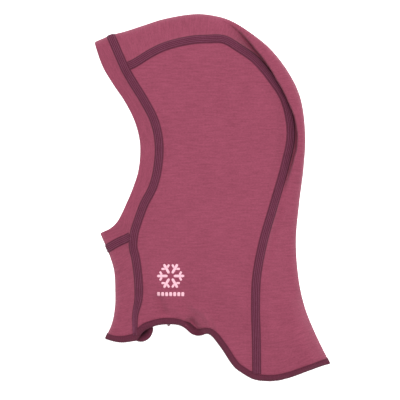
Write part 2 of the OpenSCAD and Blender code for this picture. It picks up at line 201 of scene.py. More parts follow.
# From the forehead fold, past the crown seam and the chin seam, down to the hem
FRONT_SEAM = [
    (-86.4, 138.3), (-73.8, 109.8), (-66.3, 96.5), (-56.9, 81.2), (-48.4, 64), (-44.7, 45), (-45.9, 25.1),
    (-49.9, 9), (-57.3, -5.5), (-62.7, -20), (-65.9, -31), (-66.7, -41.5), (-64.4, -52), (-62.4, -68),
    (-62.2, -84.5), (-65.6, -101), (-65.9, -121),
]
CROWN_JOIN = 1 / 16                             # where the crown seam meets it, as a share of its points
CHIN_JOIN = 10 / 16                             # where the chin seam meets it
FACE_EDGE = [
    (-100.3, 132.2), (-93.2, 111.8), (-84.3, 96.5), (-74, 81.2), (-65.5, 64), (-61.2, 45.5), (-62.2, 25.1),
    (-66.9, 9), (-73.2, -6), (-79.8, -19.1), (-86.4, -26), (-95.3, -30.2),
]
CHIN_SEAM = [(-65.9, -31), (-71.6, -34.2), (-78, -37.1), (-84.4, -40.4), (-89.4, -43.6)]
CHIN_FOLD = [
    (-89.4, -43.6), (-86.2, -52), (-83.2, -63.3), (-82.4, -78.6), (-82.6, -92.2), (-85.1, -106.5),
    (-90.7, -119.3),
]
# The upper layer's hem rises steeply from the front seam's foot, and shows the lower layer's hem under it
HEM_LEFT = [
    (-65.9, -121), (-64.2, -120), (-62, -116.9), (-59.5, -113.7), (-56.1, -111.1), (-51.9, -109.3),
    (-46, -107.6), (-39.5, -106.9), (-32.5, -107), (-27.2, -108), (-22, -110.6), (-17.3, -114.4),
    (-13.6, -116.1), (-9.6, -116.2), (-6.2, -115.2), (-2.6, -115.4), (1.2, -118.2), (5.6, -123.6),
    (10.2, -130), (16, -139), (20.5, -144.4), (27, -149), (33.5, -152.8), (37.8, -154.3),
]
HEM_RIGHT = [
    (-65.9, -121), (-60.5, -121.9), (-56.2, -120.6), (-52.8, -117.4), (-51, -112.8), (-50.4, -108.3),
    (-46, -104), (-38, -103), (-30, -104), (-22, -107), (-13, -111), (-2, -112), (6, -118.5), (14, -130.5),
    (22, -141.5), (30, -148.5), (37.8, -154.3),
]
# Where the lower layer's hem curls up
HEM_CURL = [(-59.5, -121.9), (-56.2, -120.6), (-52.8, -117.4), (-51, -112.8), (-50.4, -108.8)]
CROWN_HEM_DROP = 4.2                            # how far the crown panel's hem bows below a straight line
CHIN_HEM_DROP = 2.2
CROWN_BOW_FROM = 0.75                           # share of a panel's length from where it bows
CHIN_BOW_FROM = 0.5
SIDE_BOW_FROM = 0.55

# The crown panel stands up in a roll along the upper back. For shares of the crown seam's points:
ROLL_SHARES = [5.2, 6, 6.5, 7, 7.5, 8, 8.5, 9, 9.6, 10, 10.5, 11, 11.5, 12, 12.5, 12.9, 13.3]
ROLL_WIDTH = [3, 4.6, 6.1, 7.9, 9.6, 10.8, 12, 13, 12.5, 11.5, 8.3, 6.8, 7.4, 10.8, 15.5, 19, 22]
ROLL_FULL = [0, 0.15, 0.4, 0.7, 1, 1, 1, 1, 1, 1, 1, 1, 1, 0.85, 0.45, 0.15, 0]
VALLEY = 3.0                                    # depth of the crease beside the full roll
CREASE_W = 8.5                                  # half its width
ROLL_H = 15.0                                   # height of the full roll above the middle of the fold

HEM_DROOP = 2.0                                 # how far the hem's edge turns down, and over what width
DROOP_W = 3.2
SEAM_PUFF = 0.5                                 # how far a seam lifts the fabric, and over what half width
PUFF_W = 4.5
PUCKER = 0.45                                   # depth of the fabric drawn in along each side of a seam
PUCKER_AT = 6.5                                 # its distance from the seam's middle
PUCKER_W = 2.4

# Soft wrinkles of the upper layer: plan points along each, then its height and its half width
WRINKLES = [
    ([(13, 121), (10, 98), (7, 76)], -1.5, 4.6),
    ([(24, 118), (20, 96), (19, 80)], 0.5, 6.0),
    ([(20, 145), (25, 139), (30, 131)], -2.4, 4.6),
    ([(-46, -85), (-44, -91), (-42, -97)], -3.2, 4.0),
    ([(-60.5, -86), (-62, -98), (-64, -108)], 1.1, 2.2),
    ([(-37, -91), (-30, -94), (-24, -99)], 0.9, 5.0),
    ([(-16, -92), (-9, -96), (-4, -101.5), (-1, -108)], 3.6, 3.6),
    ([(-26, -99), (-23, -105), (-20, -111)], 1.5, 3.6),
    ([(-17.5, -106), (-15, -109), (-12, -114)], -7.0, 4.2),
    ([(-81, -65), (-76, -67), (-71, -70)], -0.7, 1.8),
    ([(66, -90), (74, -112), (84, -139)], 3.6, 8.0),
    ([(48, -104), (60, -107), (72, -110)], -0.8, 3.0),
    ([(48, -128), (62, -131), (78, -133)], -0.7, 4.0),
    ([(58, -10), (52, -30), (50, -50)], -0.8, 3.0),
    ([(-20, -40), (0, -36), (22, -42)], 0.4, 7.0),
]


def smooth(x):
    c = np.clip(x, 0, 1)
    return c * c * (3 - 2 * c)


def ramp(share, start):
    """0 up to start, and a smooth rise to 1 from there."""
    return smooth((share - start) / (1 - start))


def unit(v):
    return v / np.maximum(np.linalg.norm(v, axis=-1, keepdims=True), 1e-9)


def spline(points, shares):
    """A smooth curve through points, at shares from 0 to 1 of its points."""
    p = np.asarray(points, float)
    n = len(p) - 1
    p = np.vstack([2 * p[0] - p[1], p, 2 * p[-1] - p[-2]])
    x = np.clip(np.atleast_1d(np.asarray(shares, float)), 0, 1) * n
    i = np.minimum(x.astype(int), n - 1)
    f = (x - i)[:, None]
    a, b, c, d = p[i], p[i + 1], p[i + 2], p[i + 3]
    return 0.5 * (2 * b + f * (c - a) + f**2 * (2 * a - 5 * b + 4 * c - d) + f**3 * (3 * b - a - 3 * c + d))


def lengths(points):
    """Distance along a polyline, from its first point."""
    steps = np.linalg.norm(np.diff(points, axis=0), axis=1)
    return np.concatenate([[0.0], np.cumsum(steps)])


def resample(points, step):
    """The same polyline with points about step apart."""
    s = lengths(points)
    at = np.linspace(0, s[-1], max(3, int(round(s[-1] / step)) + 1))
    return np.stack([np.interp(at, s, points[:, k]) for k in range(points.shape[1])], 1)


def nearest_on(p, line):
    """Plan distance from each of the points p to a polyline, and the place there, counted in its points."""
    flat = p.reshape(-1, 2)
    best = np.full(len(flat), 1e9)
    place = np.zeros(len(flat))
    for k, (a, b) in enumerate(zip(line[:-1], line[1:])):
        d = b - a
        f = np.clip(((flat - a) @ d) / (d @ d), 0, 1)
        far = np.hypot(*(flat - a - f[:, None] * d).T)
        nearer = far < best
        best[nearer] = far[nearer]
        place[nearer] = k + f[nearer]
    return best.reshape(p.shape[:-1]), place.reshape(p.shape[:-1])


def line_distance(p, line):
    return nearest_on(p, line)[0]


# ---- Height rule ----

def crown_bow(f, share):
    """How far the crown panel's sections bow below a straight line near the hem, a share f from the fold."""
    drop = CROWN_HEM_DROP * ramp(share, CROWN_BOW_FROM) * np.sin(math.pi * np.clip(f, 0, 1) ** 1.6)
    return np.stack([0 * drop, drop], 1)


def chin_bow(f, share):
    drop = CHIN_HEM_DROP * ramp(share, CHIN_BOW_FROM) * np.sin(math.pi * np.clip(f, 0, 1))
    return np.stack([0 * drop, drop], 1)


def hem_outline():
    """The upper layer's hem, from the chin fold to the nape fold."""
    f = np.linspace(0, 1, 9)
    chin = CHIN_FOLD[-1] + f[:, None] * np.subtract(FRONT_SEAM[-1], CHIN_FOLD[-1]) - chin_bow(f, 1)
    crown = CROWN_FOLD[-1] + f[:, None] * np.subtract(CROWN_SEAM[-1], CROWN_FOLD[-1]) - crown_bow(f, 1)
    return np.vstack([chin, spline(HEM_LEFT, np.linspace(0, 1, 60))[1:-1], crown[::-1]])


FOLD_LINES = [
    np.vstack([FACE_EDGE[0], spline(CROWN_FOLD, np.linspace(0, 1, 45))]),
    np.vstack([FACE_EDGE[-1], spline(CHIN_FOLD, np.linspace(0, 1, 12))]),
]
FACE_LINE = spline(FACE_EDGE, np.linspace(0, 1, 24))
HEM_LINE = hem_outline()
SEAM_LINES = [
    spline(FRONT_SEAM, np.linspace(0, 1, 60)),
    spline(CROWN_SEAM, np.linspace(0, 1, 72)),
    spline(CHIN_SEAM, np.linspace(0, 1, 6)),
]


def rise(p):
    """How far the upper layer lies above a folded edge: level in the middle, lower at the edges."""
    fold = np.minimum(line_distance(p, FOLD_LINES[0]), line_distance(p, FOLD_LINES[1]))
    face = FACE_LOFT + (1 - FACE_LOFT) * smooth(line_distance(p, FACE_LINE) / FACE_RUN)
    hem = HEM_LOFT + (1 - HEM_LOFT) * smooth(line_distance(p, HEM_LINE) / HEM_RUN)
    return LOFT * smooth(fold / FOLD_RUN) * face * hem


def roll_at(share):
    """Width and fullness of the roll beside the crown seam, at shares of its points."""
    at = np.asarray(share) * (len(CROWN_SEAM) - 1)
    return np.interp(at, ROLL_SHARES, ROLL_WIDTH), np.interp(at, ROLL_SHARES, ROLL_FULL)


def roll_foot():
    """The line where the roll meets the flat fabric, and the roll's fullness along it."""
    share = np.linspace(ROLL_SHARES[0], ROLL_SHARES[-1], 60) / (len(CROWN_SEAM) - 1)
    seam, fold = spline(CROWN_SEAM, share), spline(CROWN_FOLD, share)
    w = np.linalg.norm(seam - fold, axis=1)
    width, full = roll_at(share)
    return fold + (np.minimum(width, w - ROLL_CLEAR) / w)[:, None] * (seam - fold), full


ROLL_CLEAR = 1.8                                # the roll's foot stays this far from the seam's middle
ROLL_FOOT, ROLL_FOOT_FULL = roll_foot()


def crease(p):
    """Depth of the crease beside the roll."""
    d, place = nearest_on(p, ROLL_FOOT)
    full = np.interp(place, np.arange(len(ROLL_FOOT)), ROLL_FOOT_FULL)
    return VALLEY * full * (1 - smooth(d / CREASE_W))


def relief(p):
    """Wrinkles, the crease beside the roll, and the fabric raised by each seam and drawn in beside it."""
    out = -crease(p) - HEM_DROOP * (1 - smooth(line_distance(p, HEM_LINE) / DROOP_W)) ** 2
    for points, height, half_width in WRINKLES:
        line = spline(points, np.linspace(0, 1, 9))
        along = np.clip(line_distance(p, line) / half_width, 0, 3)
        out += height * np.exp(-(along**2))
    for line in SEAM_LINES:
        d = line_distance(p, line)
        out += SEAM_PUFF * (1 - smooth(d / PUFF_W)) - PUCKER * np.exp(-(((d - PUCKER_AT) / PUCKER_W) ** 2))
    return out


CURL = 6.5                                      # how high the lower layer's hem curls up, and over what width
CURL_W = 6
CURL_LINE = spline(HEM_CURL, np.linspace(0, 1, 10))


def turned(d):
    """0 on a fold, 1 from one fold radius in."""
    return np.sqrt(1 - np.clip(1 - d / FOLD_R, 0, 1) ** 2)


def upper(p, d):
    """The upper layer's outer face over plan points p, each a distance d from its fold."""
    z = MID_Z + FOLD_R * turned(d) + rise(p) + relief(p) * turned(d)
    return np.concatenate([p, z[..., None]], -1)


def lower(p, d):
    z = MID_Z - FOLD_R * turned(d) + CURL * (1 - smooth(line_distance(p, CURL_LINE) / CURL_W))
    return np.concatenate([p, z[..., None]], -1)


# ---- Meshes ----

PRESSED = 0.6                                   # below this height things are pressed together by the table


def pressed(z):
    """Heights near the table, squeezed so that nothing goes below it."""
    squeezed = 0.02 + (PRESSED - 0.02) * np.exp((np.minimum(z, PRESSED) - PRESSED) / 0.9)
    return np.where(z < PRESSED, squeezed, z)


def make_object(name, verts, faces, uvs):
    """An object in the row frame from plan points in millimetres. uvs has one pair for each vertex."""
    verts = np.array(verts, float)
    verts[:, :2] -= DRAWN_CENTRE
    verts[:, 2] = pressed(verts[:, 2])
    mesh = bpy.data.meshes.new(name)
    mesh.from_pydata((verts * METRE).tolist(), [], faces if isinstance(faces, list) else faces.tolist())
    layer = mesh.uv_layers.new(name="UVMap")
    corner = np.zeros(len(mesh.loops), np.int32)
    mesh.loops.foreach_get("vertex_index", corner)
    layer.data.foreach_set("uv", (np.asarray(uvs, float)[corner] * METRE).ravel())
    mesh.polygons.foreach_set("use_smooth", [True] * len(mesh.polygons))
    mesh.update()
    obj = bpy.data.objects.new(name, mesh)
    bpy.context.scene.collection.objects.link(obj)
    return obj


def grid_normals(grid, ring=False):
    """Outward normals of a grid of points. A ring wraps round in its first direction."""
    if ring:
        along = np.roll(grid, -1, 0) - np.roll(grid, 1, 0)
    else:
        along = np.gradient(grid, axis=0)
    return unit(np.cross(along, np.gradient(grid, axis=1)))


def loop_faces(n, m, ring=False):
    """Faces of a solid swept through n closed loops of m points, with end caps unless it is a ring."""
    i = np.arange(n if ring else n - 1)[:, None]
    j = np.arange(m)[None, :]
    a, b = i * m + j, i * m + (j + 1) % m
    c, d = (i + 1) % n * m + (j + 1) % m, (i + 1) % n * m + j
    walls = np.stack([a, d, c, b], -1).reshape(-1, 4)
    if ring:
        return walls
    k = np.arange(m // 2 - 1)
    first = np.stack([k, k + 1, m - 2 - k, m - 1 - k], -1)
    last = (n - 1) * m + first[:, ::-1]
    return np.vstack([walls, first, last])


def skin(name, grid, low, high, uv, ring=False):
    """A closed sheet between two offsets from a grid. uv has the cloth's own coordinates, in millimetres."""
    normals = grid_normals(grid, ring)
    loops = np.concatenate([grid + high * normals, (grid + low * normals)[:, ::-1]], 1)
    uvs = np.concatenate([uv, uv[:, ::-1]], 1)
    n, m = loops.shape[:2]
    return make_object(name, loops.reshape(-1, 3), loop_faces(n, m, ring), uvs.reshape(-1, 2))


def arc_uv(grid):
    """Coordinates along and across a strip."""
    along = lengths(grid.mean(1))[:, None] * np.ones(grid.shape[1])
    return np.stack([along, [lengths(row) for row in grid]], -1)


def strip_uv(grid):
    """The same, turned so that the knit's rows run across the strip."""
    return arc_uv(grid)[..., ::-1]


# ---- Panels ----

def side_plan(u, v, hem):
    """Plan of a side panel: u runs from the front seam to the crown seam, v from the forehead to the hem."""
    front = spline(FRONT_SEAM, CROWN_JOIN + (1 - CROWN_JOIN) * v)[:, None]
    back = spline(CROWN_SEAM, v)[:, None]
    ends = spline(hem, [0, 1])
    bow = spline(hem, u) - ends[0] - u[:, None] * (ends[1] - ends[0])
    trim = HALF_GAP / np.linalg.norm(back - front, axis=-1, keepdims=True)
    w = trim + (1 - 2 * trim) * u[None, :, None]
    return (1 - w) * front + w * back + bow[None] * ramp(v, SIDE_BOW_FROM)[:, None, None]


APEX = 0.012                                    # a side panel starts this share below its top point


def towards_hem(start, n):
    """Shares from start to 1 that crowd towards the hem."""
    return start + (1 - start) * (1 - (1 - np.linspace(0, 1, n)) ** 1.4)


def left_side_panel():
    plan = side_plan(np.linspace(0, 1, 130), towards_hem(APEX, 280), HEM_LEFT)
    grid = upper(plan, np.full(plan.shape[:2], FOLD_R))
    return skin("left_side", grid, -FABRIC, 0, plan)


def right_side_panel():
    plan = side_plan(np.linspace(0, 1, 170) ** 1.3, towards_hem(APEX, 180), HEM_RIGHT)[:, ::-1]
    rim = np.minimum(line_distance(plan, SEAM_LINES[0]), line_distance(plan, SEAM_LINES[1]))
    rim = np.minimum(rim, line_distance(plan, spline(HEM_RIGHT, np.linspace(0, 1, 30))))
    grid = lower(plan, np.full(plan.shape[:2], FOLD_R))
    grid[..., 2] -= REST_Z * smooth((rim - 5) / 4)
    return skin("right_side", grid, -FABRIC, 0, plan)


# The roll's cross-section, as shares of its width and of its height above the fold
ROLL_PROFILE = [
    (0, 0), (-0.02, 0.3), (0.03, 0.6), (0.15, 0.86), (0.4, 0.98), (0.7, 1.0), (0.91, 0.98), (0.985, 0.93),
    (1.01, 0.84), (1.015, 0.72), (1.01, 0.5), (1.0, 0.3),
]


def crown_half(share, n_roll, n_flat):
    """Upper half of one cross-section of the crown panel, from the fold to the seam."""
    seam = spline(CROWN_SEAM, share)[0]
    fold = spline(CROWN_FOLD, share)[0]
    w = np.linalg.norm(seam - fold)
    width, full = roll_at(share)
    width = min(width, w - ROLL_CLEAR)
    q = np.linspace(0, 1, n_roll)
    base_d = width * (1 - np.cos(q * math.pi / 2)) ** 0.9
    roll = spline(ROLL_PROFILE, q)
    flat_d = np.linspace(width, w - HALF_GAP, n_flat + 1)[1:]

    def plan_at(d):
        return fold + (d / w)[:, None] * (seam - fold) - crown_bow(d / w, share)

    base = upper(plan_at(base_d), base_d)
    rolled = plan_at(width * roll[:, 0])
    rolled_z = MID_Z + ROLL_H * roll[:, 1]
    foot = smooth((q - 0.8) / 0.2)
    rolled_z = (1 - foot) * rolled_z + foot * base[-1, 2]
    part = (1 - full) * base + full * np.concatenate([rolled, rolled_z[:, None]], 1)
    return np.vstack([part, upper(plan_at(flat_d), flat_d)])


def strip_lower(seam, fold, bow, n):
    """Lower half of one cross-section of a folded strip, from just past the fold to the seam."""
    w = np.linalg.norm(seam - fold)
    around = FOLD_R * (1 - np.cos(np.linspace(0, math.pi / 2, 10)[1:]))
    d = np.concatenate([around, np.linspace(FOLD_R, w - HALF_GAP, n + 1)[1:]])
    return lower(fold + (d / w)[:, None] * (seam - fold) - bow(d / w), d)


def crown_rows(shares):
    rows = []
    for t in shares:
        seam, fold = spline(CROWN_SEAM, t)[0], spline(CROWN_FOLD, t)[0]
        bottom = strip_lower(seam, fold, lambda f: crown_bow(f, t), 10)
        rows.append(np.vstack([crown_half(t, 36, 14)[::-1], bottom]))
    return np.array(rows)


FIRST_SHARE = 0.003                             # a strip starts this share past the seam at its head


def crown_panel():
    grid = crown_rows(towards_hem(FIRST_SHARE, 430))
    return skin("crown", grid, -FABRIC, 0, strip_uv(grid))


def chin_rows(shares):
    rows = []
    for t in shares:
        seam = spline(FRONT_SEAM, CHIN_JOIN + (1 - CHIN_JOIN) * t)[0]
        fold = spline(CHIN_FOLD, t)[0]
        w = np.linalg.norm(seam - fold)
        around = FOLD_R * (1 - np.cos(np.linspace(0, math.pi / 2, 11)))
        d = np.concatenate([around, np.linspace(FOLD_R, w - HALF_GAP, 15)[1:]])
        plan = fold + (d / w)[:, None] * (seam - fold) - chin_bow(d / w, t)
        bottom = strip_lower(seam, fold, lambda f: chin_bow(f, t), 10)
        rows.append(np.vstack([upper(plan, d)[::-1], bottom]))
    return np.array(rows)


def chin_panel():
    grid = chin_rows(towards_hem(FIRST_SHARE, 120))[::-1]
    return skin("chin", grid, -FABRIC, 0, strip_uv(grid))


# ---- Face band ----

CORNER_SHARE = 0.84                             # share of the band's sewn edge that lies on the front seam
PLY_GAP = 0.15


def band_sewn(s):
    front = spline(FRONT_SEAM, CHIN_JOIN * s / CORNER_SHARE)
    chin = spline(CHIN_SEAM, (s - CORNER_SHARE) / (1 - CORNER_SHARE))
    return np.where(s[:, None] <= CORNER_SHARE, front, chin)


def band_rows(s, layer):
    """Outer ply of the band on one layer, from the sewn edge to the start of its fold."""
    sewn = band_sewn(s)
    edge = spline(FACE_EDGE, s)
    width = np.linalg.norm(edge - sewn, axis=1)
    ends_sewn = [np.linalg.norm(sewn - band_sewn(np.array([e])), axis=1) for e in (0.0, 1.0)]
    ends_edge = [np.linalg.norm(edge - spline(FACE_EDGE, e), axis=1) for e in (0.0, 1.0)]
    near_sewn, near_edge = np.minimum(*ends_sewn), np.minimum(*ends_edge)
    nose = FABRIC + PLY_GAP / 2
    f = np.stack([HALF_GAP / width + (1 - (nose + HALF_GAP) / width) * k for k in np.linspace(0, 1, 12)], 1)
    plan = (1 - f[..., None]) * sewn[:, None] + f[..., None] * edge[:, None]
    d = (1 - f) * near_sewn[:, None] + f * near_edge[:, None]
    return layer(plan, d)


def face_band():
    s = (1 - np.cos(np.linspace(0, math.pi, 150))) / 2
    outer = np.concatenate([band_rows(s, upper), band_rows(s[-2:0:-1], lower)])
    normals = -grid_normals(outer, ring=True)
    r = FABRIC + PLY_GAP / 2
    out = unit(outer[:, -1] - outer[:, -2])
    n = normals[:, -1]
    angles = np.radians([30, 60, 90, 120, 150])
    centre = outer[:, -1] - r * n
    nose = np.stack([centre + r * (math.cos(a) * n + math.sin(a) * out) for a in angles], 1)
    inner_nose = np.stack([centre + 0.08 * (math.cos(a) * n + math.sin(a) * out) for a in angles[::-1]], 1)
    start = 3                                   # column where the inner ply begins, clear of the stitching
    loops = np.concatenate([
        outer, nose,
        (outer - 2 * r * normals)[:, :start - 1:-1],
        (outer - (FABRIC + PLY_GAP) * normals)[:, start:],
        inner_nose,
        (outer - FABRIC * normals)[:, ::-1],
    ], 1)[::-1]
    along = lengths(loops[:, 0])[:, None] * np.ones(loops.shape[1])
    uv = np.stack([along, [lengths(loop) for loop in loops]], -1)
    n_loops, m = loops.shape[:2]
    return make_object("band", loops.reshape(-1, 3), loop_faces(n_loops, m, ring=True), uv.reshape(-1, 2))


# ---- Tracks: the surface along a line of stitching, to place thread on by length and cross offset ----

def make_track(centre, d, side, columns):
    """centre is a plan path, d its distance from the fold, and side 1 for the upper layer or -1."""
    tangent = unit(np.gradient(centre, axis=0))
    across = np.stack([-tangent[:, 1], tangent[:, 0]], 1)
    plan = centre[:, None] + columns[None, :, None] * across[:, None]
    return (upper if side > 0 else lower)(plan, np.repeat(d[:, None], len(columns), 1))


def finish_track(grid, columns):
    middle = grid[:, len(columns) // 2]
    return {"s": lengths(middle), "columns": columns, "grid": grid, "normals": grid_normals(grid)}


def on_track(track, s, column, lift):
    """Points on a track at lengths s and cross offsets, lifted off the surface, with its normals."""
    s, column, lift = np.broadcast_arrays(s, column, lift)
    i = np.clip(np.interp(s, track["s"], np.arange(len(track["s"]))), 0, len(track["s"]) - 1.001)
    j = np.interp(column, track["columns"], np.arange(len(track["columns"])))
    j = np.clip(j, 0, len(track["columns"]) - 1.001)
    i0, j0 = i.astype(int), j.astype(int)
    fi, fj = (i - i0)[:, None], (j - j0)[:, None]

    def mix(g):
        return (1 - fi) * ((1 - fj) * g[i0, j0] + fj * g[i0, j0 + 1]) + fi * (
            (1 - fj) * g[i0 + 1, j0] + fj * g[i0 + 1, j0 + 1])

    normal = unit(mix(track["normals"]))
    return mix(track["grid"]) + lift[:, None] * normal, normal


TRACK_COLUMNS = np.linspace(-SEAM_W / 2, SEAM_W / 2, 11)


def trimmed(path, start, end):
    s = lengths(path)
    keep = path[(s > start) & (s < s[-1] - end)]
    return resample(keep, 0.6)


def folded_track(path, fold_line, tuck=0):
    """A track that runs up the upper layer to a fold, over it, and back down the lower one.

    tuck is the share of its width that is tucked under the fabric beside it at its start.
    """
    s = lengths(path)
    far = path[s[-1] - s > FOLD_R + 1.5]
    back = unit(far[-1] - path[-1])
    tangent = unit(np.gradient(far, axis=0))
    across = np.stack([-tangent[:, 1], tangent[:, 0]], 1)
    hidden = tuck * (1 - smooth(lengths(far) / 42))[:, None]
    columns = (1 - np.where(TRACK_COLUMNS < 0, 0.4, 1) * hidden) * TRACK_COLUMNS
    flat = far[:, None] + columns[..., None] * across[:, None]
    flat_d = np.repeat(np.linalg.norm(far - path[-1], axis=1)[:, None], len(TRACK_COLUMNS), 1)
    # each column turns at its own place on the fold line
    ends = path[-1] + TRACK_COLUMNS[:, None] * np.array([back[1], -back[0]])
    shifts = np.linspace(-4, 4, 161)
    miss = line_distance(ends[:, None] + shifts[None, :, None] * back, fold_line)
    ends = ends + shifts[np.argmin(miss, axis=1)][:, None] * back
    steps = FOLD_R * (1 - np.cos(np.linspace(math.pi / 2, 0, 14)))
    turn = ends[None] + steps[:, None, None] * back
    plan = np.concatenate([flat, turn])
    d = np.concatenate([flat_d, np.repeat(steps[:, None], len(TRACK_COLUMNS), 1)])
    return finish_track(np.concatenate([upper(plan, d), lower(plan, d)[-2::-1]]), TRACK_COLUMNS)


def seam_tracks():
    front = resample(spline(FRONT_SEAM, np.linspace(1, 0, 400)), 0.6)
    chin = resample(spline(CHIN_SEAM, np.linspace(0, 1, 60)), 0.6)
    crown = trimmed(spline(CROWN_SEAM, np.linspace(0, 1, 600)), SEAM_W / 2 - 0.6, OVERLOCK_W - 0.8)
    full = np.full(len(crown), FOLD_R)
    left = make_track(crown, full, 1, TRACK_COLUMNS)
    right = make_track(crown, full, -1, TRACK_COLUMNS)[::-1]
    return {
        "front_seam": folded_track(trimmed(front, OVERLOCK_W - 0.8, 0), FOLD_LINES[0], tuck=0.65),
        "chin_seam": folded_track(trimmed(chin, SEAM_W / 2 - 0.6, 0), FOLD_LINES[1]),
        "left_crown_seam": finish_track(left, TRACK_COLUMNS),
        "right_crown_seam": finish_track(right, TRACK_COLUMNS),
    }


# ---- Thread ----

def tubes(name, runs, radius, sides=6):
    """One mesh of round threads. Each run is its points and the surface normals beside them."""
    verts, faces, uvs = [], [], []
    start = 0
    for points, normals in runs:
        tangent = unit(np.gradient(points, axis=0))
        side = unit(np.cross(tangent, normals))
        up = np.cross(side, tangent)
        angle = np.arange(sides) * 2 * math.pi / sides
        ring = np.cos(angle)[None, :, None] * side[:, None] + np.sin(angle)[None, :, None] * up[:, None]
        verts.append((points[:, None] + radius * ring).reshape(-1, 3))
        n = len(points)
        i, j = np.arange(n - 1)[:, None], np.arange(sides)[None]
        a, b = i * sides + j, i * sides + (j + 1) % sides
        quads = np.stack([a, b, b + sides, a + sides], -1).reshape(-1, 4) + start
        faces += quads.tolist()
        faces.append((np.arange(sides)[::-1] + start).tolist())
        faces.append((np.arange(sides) + start + (n - 1) * sides).tolist())
        along = lengths(points)[:, None] * np.ones(sides)
        around = np.ones(n)[:, None] * np.arange(sides) * radius
        uvs.append(np.stack([along, around], -1).reshape(-1, 2))
        start += n * sides
    return make_object(name, np.vstack(verts), faces, np.vstack(uvs))


def zigzag(n, low, high):
    return np.where(np.arange(n) % 2 == 0, low, high)


LIFT = 0.22                                     # height of a thread's middle above the fabric
NEEDLE_ROWS = np.array([-1, -1 / 3, 1 / 3, 1]) * (SEAM_W / 2 - 1.7)
STITCH = 2.3                                    # length of a flatlock stitch
THREAD_R = 0.24


def cover_thread(name, track):
    """The covering thread: it goes to and fro between the outer needle rows and hides the joint."""
    length = track["s"][-1]
    n = int(length / (STITCH / 3))
    s = np.linspace(0.3, length - 0.3, n)
    reach = SEAM_W / 2 - 0.75 + 0.22 * np.sin(s / 1.9) + 0.18 * np.sin(s / 0.83)
    column = zigzag(n, -1, 1) * reach
    fine = np.linspace(0, n - 1, n * 6)
    run = on_track(track, np.interp(fine, np.arange(n), s), np.interp(fine, np.arange(n), column), LIFT)
    return tubes(name, [run], THREAD_R * 1.2, sides=5)


def needle_threads(name, track):
    """Rows of short stitches that dip into the fabric between one stitch and the next."""
    length = track["s"][-1]
    runs = []
    for k, row in enumerate(NEEDLE_ROWS):
        n = int(length / STITCH)
        phase = np.linspace(0, n, n * 7 + 1)
        hump = np.abs(np.sin(math.pi * (phase + 0.25 * k))) ** 0.6
        s = 0.3 + phase / n * (length - 0.6)
        runs.append(on_track(track, s, row, 0.28 + 0.42 * hump))
    return tubes(name, runs, THREAD_R * 1.25, sides=6)


def looper_thread(name, track):
    """The looper thread on the inner face, as wide loops."""
    length = track["s"][-1]
    n = int(length / STITCH) * 2
    s = np.linspace(0.3, length - 0.3, n)
    fine = np.linspace(0, n - 1, n * 5)
    column = np.interp(fine, np.arange(n), zigzag(n, -SEAM_W / 2 + 0.4, SEAM_W / 2 - 0.4))
    run = on_track(track, np.interp(fine, np.arange(n), s), column, -FABRIC - 0.2)
    return tubes(name, [run], THREAD_R, sides=5)


def seam_bed(name, track, low, high):
    """A thin ribbon under the stitches, standing for matted thread. Its darker plum, where it shows past the zigzag
    along the seam's edges, is painted shade.
    """
    return skin(name, track["grid"][::2], low, high, arc_uv(track["grid"][::2]))


# ---- Hem ----

THREAD_END = (-36.8, -106.6)                    # where the overlock's thread is tied off
HEM_STEPS = np.array([0.06, 0.3, 0.55, 0.8, 1.0])   # columns across the overlock, as shares of its width
CROWN_RATE = 600                                # length of a whole share of the panel, as it is by the hem
CHIN_RATE = 100


def side_hem(hem, layer):
    """Lines along a side panel's hem: its edge, then HEM_STEPS of OVERLOCK_W further in."""
    edge = resample(side_plan(np.linspace(0.004, 0.996, 300), np.array([1.0]), hem)[0], 0.5)
    tangent = unit(np.gradient(edge, axis=0))
    padded = np.pad(tangent, ((7, 7), (0, 0)), "edge")
    tangent = unit(sum(padded[k:k + len(edge)] for k in range(15)))
    s = lengths(edge)
    clear = smooth(np.minimum(s, s[-1] - s) / 5)[:, None]      # at its ends the overlock lies along the seam
    inward = unit(clear * np.stack([-tangent[:, 1], tangent[:, 0]], 1) + (1 - clear) * np.array([0, 1]))
    steps = np.concatenate([[0], HEM_STEPS]) * OVERLOCK_W
    plan = edge[:, None] + steps[None, :, None] * inward[:, None]
    return layer(plan, np.full(plan.shape[:2], FOLD_R))


def hem_shares(rate):
    """Shares of a folded panel's length for the same lines. rate is the length of a whole share there."""
    return 1 - np.concatenate([[0], HEM_STEPS]) * OVERLOCK_W / rate


def hem_track():
    """The hem's outer face, edge and inner face as one track. Columns run from -1 inside to 1 outside."""
    ring = np.concatenate([
        side_hem(HEM_LEFT, upper),
        crown_rows(hem_shares(CROWN_RATE)).transpose(1, 0, 2),
        side_hem(HEM_RIGHT, lower)[::-1],
        chin_rows(hem_shares(CHIN_RATE)).transpose(1, 0, 2)[::-1],
    ])
    ring = np.concatenate([ring, ring[:1]])
    s = lengths(ring[:, 0])
    at = np.linspace(0, s[-1], int(s[-1] / 0.5))
    flat = ring.reshape(len(ring), -1)
    ring = np.stack([np.interp(at, s, flat[:, k]) for k in range(flat.shape[1])], 1).reshape(len(at), -1, 3)
    normals = grid_normals(ring)
    edge, n = ring[:, 0], normals[:, 0]
    out = unit(edge - ring[:, 1])
    half = FABRIC / 2
    nose = [edge - half * n + half * (math.cos(a) * n + math.sin(a) * out) for a in np.radians([35, 90, 145])]
    outer_face = ring[:, :0:-1]
    inner_face = (ring - FABRIC * normals)[:, 1:]
    grid = np.concatenate([outer_face, np.stack(nose, 1), inner_face], 1)[:, ::-1]
    track = finish_track(grid, np.linspace(-1, 1, grid.shape[1]))
    track["s"] = at
    return track


